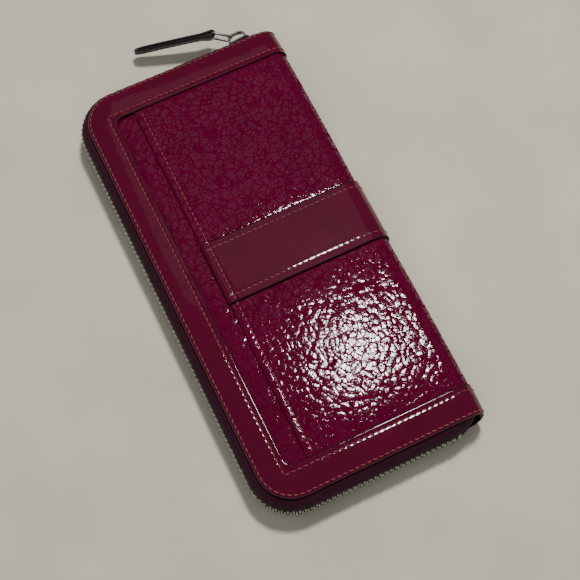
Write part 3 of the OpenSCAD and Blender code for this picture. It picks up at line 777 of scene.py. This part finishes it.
def trim_stitches(side):
    """Two rows round each end and the zip side, on every trim."""
    lift = 0.13 * MM if side == FRONT else -0.05 * MM
    outer_h = float(trim_height(SEAM_OUT, TRIM_END - SEAM_OUT, side)) + lift
    inner_h = float(trim_height(TRIM_END - SEAM_IN, SEAM_IN, side)) + lift
    rows = [
        (SEAM_OUT, SEAM_OUT, CORNER_R - SEAM_OUT, outer_h),
        (TRIM_SIDE - SEAM_IN, TRIM_END - SEAM_IN, 1.2 * MM, inner_h),
    ]
    for number, (inset_side, inset_end, radius, h) in enumerate(rows):
        for part in ("end", "side"):
            line = border(inset_side, inset_end, radius, part)
            paths = [line]
            if part == "end":
                line = line[line[:, 0] > 0.6 * MM]
                paths = [line, line * np.array([1, -1])]
            name = f"{SIDE_NAME[side]}_trim_{part}_stitches_{number + 1}"
            seed = 95 + number + 3 * side
            obj = stitches(name, paths, lambda p, q: np.full(np.shape(p), h), side, THREAD, seed)
            if part == "end":
                to_body(obj, side)
            else:
                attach(obj, SIDE_NAME[side])


# ---- Zip ----

CORNER_X = EDGE_X + CORNER_R
CORNER_Y = END_Y - CORNER_R
STRAIGHT = ZIP_END_X - CORNER_X
TURN = math.pi / 2 * (CORNER_R + ZIP_OUT)
ZIP_LENGTH = 2 * STRAIGHT + 2 * TURN + 2 * CORNER_Y
# Past the slider and before the far end the zip curves in under the leather.
TAPE_PAST = 7 * MM
SLIDER_TUCK_START = 1 * MM
FAR_TUCK_START = 9 * MM
FAR_TEETH_END = 6 * MM
SLIDER_TEETH_END = 2.5 * MM
SLIDER_TUCK = 5 * MM
FAR_TUCK = 6 * MM
# How far a row stands from the middle of the zip behind the slider's wedge.
OPEN_ROW = 0.95 * MM
LEVEL = {FRONT: "upper", BACK: "lower"}


def tuck(s):
    """How far in the zip lies at s: nothing along most of its length, more and more towards its ends."""
    slider_end = np.clip((SLIDER_TUCK_START - s) / (SLIDER_TUCK_START + TAPE_PAST), 0, 1)
    far_end = np.clip((s - ZIP_LENGTH + FAR_TUCK_START) / (FAR_TUCK_START + TAPE_PAST), 0, 1)
    return -SLIDER_TUCK * slider_end ** 2 - FAR_TUCK * far_end ** 2


def zip_frame(s):
    """Points on the leather's edge along the zip, with their outward directions. The halves are mirrored."""
    near = np.minimum(s, ZIP_LENGTH - s)
    mirror = np.where(s <= ZIP_LENGTH / 2, 1, -1)
    angle = np.clip((near - STRAIGHT) / TURN, 0, 1) * math.pi / 2
    out_x, out_y = -np.sin(angle), np.cos(angle)
    x = CORNER_X + CORNER_R * out_x + np.maximum(STRAIGHT - near, 0)
    y = CORNER_Y + CORNER_R * out_y - np.maximum(near - STRAIGHT - TURN, 0)
    return np.column_stack([x, mirror * y]), np.column_stack([out_x, mirror * out_y])


def zip_tape(side):
    """The woven tape, from under the cover leather down to its row of teeth."""
    cover_in = TOP_Z + COVER_IN_H if side == FRONT else TOP_Z - TRIM_T - COVER_T
    half_t = 0.2 * MM
    # From the seam under the cover, over the edge and down to the teeth, as (outward, height) points.
    line = np.array([
        (-6.5 * MM, cover_in - half_t), (-1 * MM, cover_in - half_t), (0.5 * MM, cover_in - 0.5 * MM),
        (1.7 * MM, cover_in - 1.5 * MM), (2.6 * MM, cover_in - 2.9 * MM), (3.1 * MM, cover_in - 4.3 * MM),
        (ZIP_OUT, TEETH_TOP + 0.6 * MM), (ZIP_OUT, TEETH_TOP - 1.3 * MM)])
    out, height = band(line, half_t).T
    # Straight and round stretches take turns, each starting where the last one ends.
    s = np.array([-TAPE_PAST])
    lengths = [STRAIGHT + TAPE_PAST, TURN, 2 * CORNER_Y, TURN, STRAIGHT + TAPE_PAST]
    for number, length in enumerate(lengths):
        step = (1.5 if number % 2 else 1.2) * MM
        s = np.concatenate([s, even(s[-1], s[-1] + length, step)[1:]])
    points, outs = zip_frame(s)
    waves = 0.12 * MM * np.sin(math.pi * s / TOOTH_PITCH)
    ripple = waves + 0.25 * MM * (smooth_noise(s / (9 * MM), s * 0, 5) - 0.5)
    free = np.clip((out - 0.5 * MM) / (ZIP_OUT - 0.5 * MM), 0, 1) * np.clip((height - TEETH_TOP) / MM, 0, 1)
    pulled = np.clip(out / ZIP_OUT + 0.6, 0, 1)
    n = out + tuck(s)[:, None] * pulled + ripple[:, None] * free
    xy = points[:, None, :] + outs[:, None, :] * n[..., None]
    roll_r = SPINE_R - 1.4 * MM
    past_roll = np.clip((points[:, 0] - ROLL_X) / roll_r, 0, 1)
    highest = ZIP_Z + HALF_UP + roll_r * np.sqrt(1 - past_roll ** 2)
    z = np.minimum(height, highest[:, None])
    if side == BACK:
        z = TOP_Z - z
    verts = np.concatenate([xy, z[..., None]], axis=-1)
    name = "zip_tape_" + LEVEL[side]
    obj = ring_body(name + "_cloth", verts, [TAPE], [0] * verts.shape[1], side == FRONT)
    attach(obj, SIDE_NAME[side])
    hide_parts(name)


def tooth_shape():
    """One metal tooth: a head that reaches between the other row's, on a jaw that grips the tape."""
    levels = [(-0.95, 0.3, 0.6), (-0.75, 0.42, 0.85), (0.35, 0.44, 0.95), (0.8, 0.5, 1.05),
              (2.2, 0.52, 1.05), (2.5, 0.38, 0.8)]
    sides, verts = 8, []
    for z, half_s, half_n in levels:
        for i in range(sides):
            a = 2 * math.pi * (i + 0.5) / sides
            u, v = math.cos(a), math.sin(a)
            grow = 1 / max(abs(u), abs(v)) ** 0.75
            verts.append((half_s * u * grow * MM, half_n * v * grow * MM, z * MM))
    return np.array(verts), ring_faces(len(levels), sides)


def along_row(name, side, s, apart, scale=(1, 1, 1)):
    """Metal pieces at s along the zip, each moved apart from the other row's by its own height."""
    verts, faces = tooth_shape()
    points, outs = zip_frame(s)
    xy = points + outs * (ZIP_OUT + tuck(s))[:, None]
    origins = np.column_stack([xy, ZIP_Z + side * apart])
    out3 = np.column_stack([outs, np.zeros(len(s))])
    up = np.tile([0, 0, float(side)], (len(s), 1))
    axes = np.stack([np.cross(out3, up), out3, up], axis=1) * np.reshape(scale, (1, 3, 1))
    obj = placed_copies(name + "_metal", verts, faces, origins, axes, METAL)
    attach(obj, SIDE_NAME[side])
    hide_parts(name)


def zip_teeth(side):
    run = ZIP_LENGTH - SLIDER_TEETH_END - FAR_TEETH_END
    count = int(run / TOOTH_PITCH)
    s = SLIDER_TEETH_END + (np.arange(count) + (0.5 if side == BACK else 0)) * run / count
    slider_s = ZIP_END_X - slider_centre_x()
    opened = OPEN_ROW * np.clip((slider_s + 1 * MM - s) / (3 * MM), 0, 1)
    along_row("zip_teeth_" + LEVEL[side], side, s, opened)


def zip_stops(side):
    """The crimped stops beyond the first and last tooth of a row."""
    s = np.array([SLIDER_TEETH_END - 1.9 * MM, ZIP_LENGTH - FAR_TEETH_END + 1.2 * MM])
    apart = np.array([OPEN_ROW, 0.55 * MM])
    along_row("zip_stops_" + LEVEL[side], side, s, apart, (1.3, 0.9, 0.6))


# ---- Slider and pull ----

def slider_centre_x():
    low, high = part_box("zip_slider")
    return (low.x + high.x) / 2


def bevel(obj, width):
    modifier = obj.modifiers.new("bevel", "BEVEL")
    modifier.width = width
    modifier.segments = 3
    modifier.limit_method = "ANGLE"
    modifier.angle_limit = math.radians(35)


def prism(outline, low, high, axis_out):
    """Vertices and faces of an outline pushed from low to high; axis_out places (a, b, depth)."""
    count = len(outline)
    verts = [axis_out(a, b, depth) for depth in (low, high) for a, b in outline]
    return verts, ring_faces(2, count)


def closed_tube(path, radius):
    """Vertices and faces of a round wire along a closed path that lies in one plane."""
    sides, count = 12, len(path)
    ahead = unit(np.roll(path, -1, axis=0) - np.roll(path, 1, axis=0))
    plane = unit(np.cross(ahead[0], ahead[count // 3] + 1e-6))
    verts, faces = [], []
    for r, (point, forward) in enumerate(zip(path, ahead)):
        across = np.cross(plane, forward)
        a, b = r * sides, (r + 1) % count * sides
        for i in range(sides):
            turn = 2 * math.pi * i / sides
            n = (i + 1) % sides
            verts.append(point + radius * (math.cos(turn) * across + math.sin(turn) * plane))
            faces.append((a + i, a + n, b + n, b + i))
    return verts, faces


def join_parts(name, parts, material):
    """One flat-shaded mesh of several separate bodies."""
    verts, faces = [], []
    for part_verts, part_faces in parts:
        start = len(verts)
        verts += [tuple(v) for v in part_verts]
        faces += [tuple(i + start for i in face) for face in part_faces]
    return make_mesh(name, verts, faces, [material], smooth=False)


def wing_outline(half_l, half_h):
    """A rounded wing, fuller at the spine end where it covers the open rows."""
    points = []
    for i in range(40):
        t = i / 40 * 2 * math.pi
        c, u = math.cos(t), math.sin(t)
        full_h = half_h * (0.66 + 0.34 / (1 + math.exp(-6 * (c - 0.05))))
        points.append((half_l * math.copysign(abs(c) ** 0.7, c), full_h * math.copysign(abs(u) ** 0.6, u)))
    return points


def arch_outline(reach, rise, leg, roof):
    """The side of the slider's bridge: an outer and an inner arch."""
    turns = [math.pi * i / 20 for i in range(21)]
    outer = [(-reach * math.cos(a), rise * abs(math.sin(a)) ** 0.3) for a in turns]
    inner = [(-(reach - leg) * math.cos(a), (rise - roof) * abs(math.sin(a)) ** 0.2) for a in reversed(turns)]
    return outer + inner


BRIDGE_HALF_L = 4.5 * MM
BRIDGE_HALF_W = 1.2 * MM
BRIDGE_LEG = 0.85 * MM
BRIDGE_ROOF = 0.75 * MM


def slider():
    low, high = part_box("zip_slider")
    x0, half_l, half_h = slider_centre_x(), (high.x - low.x) / 2, (high.z - low.z) / 2
    clear, wing_t, sink = 0.25 * MM, 0.8 * MM, 0.15 * MM
    outer_y = END_Y + TEETH_OUT + clear
    inner_y = END_Y + ZIP_OUT - TOOTH_W / 2 - clear - wing_t
    face_y = outer_y + wing_t

    def outward(base):
        return lambda a, b, depth: (x0 + a, base + depth, ZIP_Z + b)

    def sideways(a, b, depth):
        return x0 + a, face_y - sink + b, ZIP_Z + depth

    wing = wing_outline(half_l, half_h)
    tail, waist = half_l - 0.9 * MM, 3.2 * MM
    wedge = [(0.8 * MM, 0), (waist, 0.55 * MM), (tail, 0.45 * MM), (tail, -0.45 * MM), (waist, -0.55 * MM)]
    arch = arch_outline(BRIDGE_HALF_L, high.y - face_y, BRIDGE_LEG, BRIDGE_ROOF)
    parts = [
        prism(wing, 0, wing_t, outward(outer_y)),
        prism(wing, 0, wing_t, outward(inner_y)),
        prism(wedge, wing_t / 2, outer_y - inner_y + wing_t / 2, outward(inner_y)),
        prism(arch, -BRIDGE_HALF_W, BRIDGE_HALF_W, sideways),
    ]
    body = join_parts("zip_slider_body", parts, METAL)
    bevel(body, 0.2 * MM)
    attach(body, "slider")
    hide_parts("zip_slider")


TAB_LENGTH = 35.5 * MM
TAB_W = 9 * MM
TAB_END_W = 8 * MM
TAB_DROOP = 9.5 * MM
TAB_ANGLE = math.radians(12.5)
TAB_LAYER = 1.05 * MM
TAB_MEET = 5.5 * MM
WIRE_R = 0.6 * MM
BAR_CLEAR = 0.15 * MM


# The slider's bar, the tab's bar, and the leaning direction of both.
SLIDER_BAR = Vector(JOINTS["link_swing"]["pos_m"])
TAB_BAR = Vector(JOINTS["tab_swing"]["pos_m"])
BAR_UP = -Vector(JOINTS["link_swing"]["axis"])


def link():
    """A bent wire: one bar through the slider's bridge, one through the tab's loop."""
    along = (TAB_BAR - SLIDER_BAR).normalized()
    half_h = TAB_W / 2 + BAR_CLEAR + WIRE_R
    corner = 1.3 * MM
    length = (TAB_BAR - SLIDER_BAR).length
    path = []
    for a, b, start in ((length - corner, half_h - corner, 90), (length - corner, corner - half_h, 0),
                        (corner, corner - half_h, -90), (corner, half_h - corner, -180)):
        for i in range(7):
            turn = math.radians(start - 15 * i)
            ahead, rise = a + corner * math.cos(turn), b + corner * math.sin(turn)
            path.append(SLIDER_BAR + along * ahead + BAR_UP * rise)
    verts, faces = closed_tube(np.array(path), WIRE_R * 0.96)
    wire = make_mesh("pull_link_wire", verts, faces, [METAL])
    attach(wire, "link")
    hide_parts("pull_link")


# The tab's own directions: along it, and out from the wallet's side.
TAB_ALONG = Vector((-math.cos(TAB_ANGLE), math.sin(TAB_ANGLE) * BAR_UP.z, -math.sin(TAB_ANGLE) * BAR_UP.y))
TAB_OUT = Vector((math.sin(TAB_ANGLE), math.cos(TAB_ANGLE) * BAR_UP.z, -math.cos(TAB_ANGLE) * BAR_UP.y))


def on_tab(a, b, c):
    """From (along, out, up) on the flat tab to its place on the drooping tab."""
    droop = TAB_DROOP * max(0.0, a / TAB_LENGTH) ** 1.35
    return tuple(TAB_BAR + TAB_ALONG * a + TAB_OUT * b + BAR_UP * (c - droop))


def tab_half_width(a):
    """Half of the tab's width at a along it, rounded off at its end."""
    t = np.clip(a / TAB_LENGTH, 0, 1)
    half = (TAB_W + (TAB_END_W - TAB_W) * t) / 2
    round_l = half * 0.95
    past = np.clip(a - (TAB_LENGTH - round_l), 0, round_l) / round_l
    return half * np.sqrt(1 - 0.985 * past ** 2)


def tab_line():
    """The middle line of the tab's leather as (along, out) points, from tip to tip round the bar."""
    loop_r = WIRE_R + BAR_CLEAR + TAB_LAYER / 2
    gap = TAB_LAYER / 2 + 0.02 * MM
    straight = even(TAB_MEET, TAB_LENGTH, 0.55 * MM)
    splay = even(0.6 * MM, TAB_MEET, 0.5 * MM)[:-1]
    swing = 1 - (splay - splay[0]) / (TAB_MEET - splay[0])
    spread = gap + (loop_r * 0.96 - gap) * swing ** 1.3
    turns = np.radians(np.linspace(100, 260, 17))
    leg_a = np.concatenate([straight[::-1], splay[::-1]])
    leg_b = np.concatenate([np.full(len(straight), gap), spread[::-1]])
    line_a = np.concatenate([leg_a, loop_r * np.cos(turns), leg_a[::-1]])
    line_b = np.concatenate([leg_b, loop_r * np.sin(turns), -leg_b[::-1]])
    return np.column_stack([line_a, line_b])


def tab():
    """One strip of black leather folded round the link's bar and sewn to itself."""
    line = tab_line()
    normal = unit(np.gradient(line, axis=0)) @ np.array([[0, 1], [-1, 0]])
    half_t = TAB_LAYER / 2
    section = [(-1, 0.55), (-0.93, 1), (-0.5, 1), (0, 1), (0.5, 1), (0.93, 1), (1, 0.55),
               (1, -0.55), (0.93, -1), (0, -1), (-0.93, -1), (-1, -0.55)]
    rows = []
    for (a, b), (na, nb) in zip(line, normal):
        half = float(tab_half_width(a))
        rows.append([on_tab(a + na * half_t * t, b + nb * half_t * t, share * half) for share, t in section])
    body = ring_body("pull_tab_leather", np.array(rows), [TAB], [0] * len(section))
    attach(body, "tab")
    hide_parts("pull_tab")
    verts, faces = capsule(2.0 * MM, 0.2 * MM)
    origins, axes = [], []
    for face in (1, -1):
        for edge in (1, -1):
            for a in np.arange(TAB_MEET + 1 * MM, TAB_LENGTH - 4 * MM, STITCH_PITCH):
                b, c = face * (TAB_LAYER + 0.05 * MM), edge * (float(tab_half_width(a)) - 1.3 * MM)
                ahead = Vector(on_tab(a + 1 * MM, b, c)) - Vector(on_tab(a, b, c))
                origins.append(on_tab(a, b, c))
                axes.append([tuple(ahead.normalized()), tuple(BAR_UP), tuple(TAB_OUT)])
    seam = placed_copies("pull_tab_stitches", verts, faces, np.array(origins), np.array(axes), TAB_THREAD)
    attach(seam, "tab")


# ---- Gussets ----


def gusset(level, end):
    """Cloth folded inwards at one end of a note compartment, spanning its box from the lowest to the highest
    point.
    """
    node = f"gusset_{level}_{end}"
    low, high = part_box(node)
    sign = 1 if end == "top" else -1
    y_out, y_in = (high.y, low.y) if sign > 0 else (low.y, high.y)
    half_t = 0.15 * MM
    t = np.linspace(0, 1, 13)
    fold = np.sin((1 - np.abs(2 * t - 1)) * math.pi / 2) ** 0.9
    line = np.column_stack([y_out + (y_in - y_out) * fold, low.z + (high.z - low.z) * t])
    ring = band(line, half_t)
    rows_x = even(low.x, high.x, 2 * MM)
    verts = np.stack([np.column_stack([np.full(len(ring), x), ring]) for x in rows_x])
    obj = ring_body(node + "_cloth", verts, [LINING], [0] * len(ring), sign > 0)
    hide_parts(node)
    if level == "lower":
        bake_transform(obj)
    else:
        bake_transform(obj)


# ---- CAD nodes that stay ----

def dress_frame():
    finish = {"card_leather": CARD, "lining": LINING, "board": BOARD, "zip_metal": METAL, "tape": TAPE,
              "crinkle_leather": CRINKLE, "smooth_leather": SMOOTH, "tab_leather": TAB}
    slots = {part["node"]: part["material_slot"] for part in frame["record"]["subparts"]}
    for name, obj in frame["nodes"].items():
        obj.data.materials.clear()
        obj.data.materials.append(finish[slots[name]])


# ---- Stage, light and camera ----

def studio():
    bpy.ops.mesh.primitive_plane_add(size=6, location=(0, 0, -0.0002))
    floor = bpy.context.object
    floor.name = "floor"
    m = Material("pale_floor")
    mottle = m.noise(0.02, 3.0)
    colour = m.ramp(mottle, [(0.3, (0.47, 0.45, 0.385)), (0.7, (0.54, 0.52, 0.445))])
    floor.data.materials.append(m.finish(colour, m.remap(mottle, 0.8, 0.9)))
    world = bpy.data.worlds.new("studio")
    world.use_nodes = True
    sky = world.node_tree.nodes["Background"]
    sky.inputs["Color"].default_value = (0.95, 0.97, 1.0, 1)
    sky.inputs["Strength"].default_value = 0.14
    bpy.context.scene.world = world


def area_light(name, place, aim, size, power, colour, shines=True):
    """A square lamp. One that doesn't shine lights surfaces without being mirrored in them."""
    data = bpy.data.lights.new(name, "AREA")
    data.shape = "SQUARE"
    data.size = size
    data.energy = power
    data.color = colour
    light = bpy.data.objects.new(name, data)
    light.location = place
    light.rotation_euler = (Vector(aim) - Vector(place)).to_track_quat("-Z", "Y").to_euler()
    light.visible_glossy = shines
    bpy.context.scene.collection.objects.link(light)


# The camera looks at CAMERA_AIM from this azimuth and elevation.
CAMERA_AIM = Vector((-1.2 * MM, -19.3 * MM, TOP_Z))
CAMERA_AZIMUTH = 26.14
CAMERA_ELEVATION = 68.36
CAMERA_ROLL = 0.31
CAMERA_DISTANCE = 585 * MM
CAMERA_LENS = 85.7


def camera():
    azimuth, elevation = math.radians(CAMERA_AZIMUTH), math.radians(CAMERA_ELEVATION)
    forward = Vector((math.sin(azimuth) * math.cos(elevation), math.cos(azimuth) * math.cos(elevation),
                      -math.sin(elevation)))
    data = bpy.data.cameras.new("camera")
    data.sensor_width = 36
    data.lens = CAMERA_LENS
    data.clip_start = 0.01
    obj = bpy.data.objects.new("camera", data)
    obj.location = CAMERA_AIM - forward * CAMERA_DISTANCE
    turn = forward.to_track_quat("-Z", "Y") @ Quaternion((0, 0, 1), math.radians(CAMERA_ROLL))
    obj.rotation_euler = turn.to_euler()
    bpy.context.scene.collection.objects.link(obj)
    bpy.context.scene.camera = obj
    return obj.location


LAMP_DISTANCE = 1.0


def mirrored_from(eye, spot):
    """The place of a lamp that the eye sees mirrored at a spot on the wallet's flat top."""
    ray = (spot - eye).normalized()
    return spot + Vector((ray.x, ray.y, -ray.z)) * LAMP_DISTANCE


def lights(eye):
    """The lamp glints on the lower half of the pocket panel; the soft box is mirrored faintly above it."""
    glint = Vector((17 * MM, -57 * MM, TOP_Z))
    upper = Vector((5 * MM, 45 * MM, TOP_Z))
    lamp = mirrored_from(eye, glint)
    area_light("lamp", lamp, glint, 0.1, 2.8, (1.0, 0.98, 0.95))
    area_light("lamp_spill", lamp, glint, 0.14, 8.2, (1.0, 0.96, 0.88), shines=False)
    area_light("soft_box", mirrored_from(eye, upper), upper, 0.34, 0.09, (1.0, 0.98, 0.97))
    area_light("soft_fill", (-0.5, -0.5, 1.5), (0, 0, 0), 1.4, 9, (1.0, 0.98, 0.93), shines=False)


# ---- Assembly ----

eye = camera()
studio()
lights(eye)
dress_frame()
pocket_panel()
cover_strip()
back_cover()
for side in (FRONT, BACK):
    strap(side)
    trim(side, "end", 1)
    trim(side, "end", -1)
    trim(side, "side", 1)
    trim_stitches(side)
    zip_tape(side)
    zip_teeth(side)
    zip_stops(side)
pocket_stitches()
slider()
link()
tab()
for level in ("lower", "upper"):
    for end in ("top", "bottom"):
        gusset(level, end)
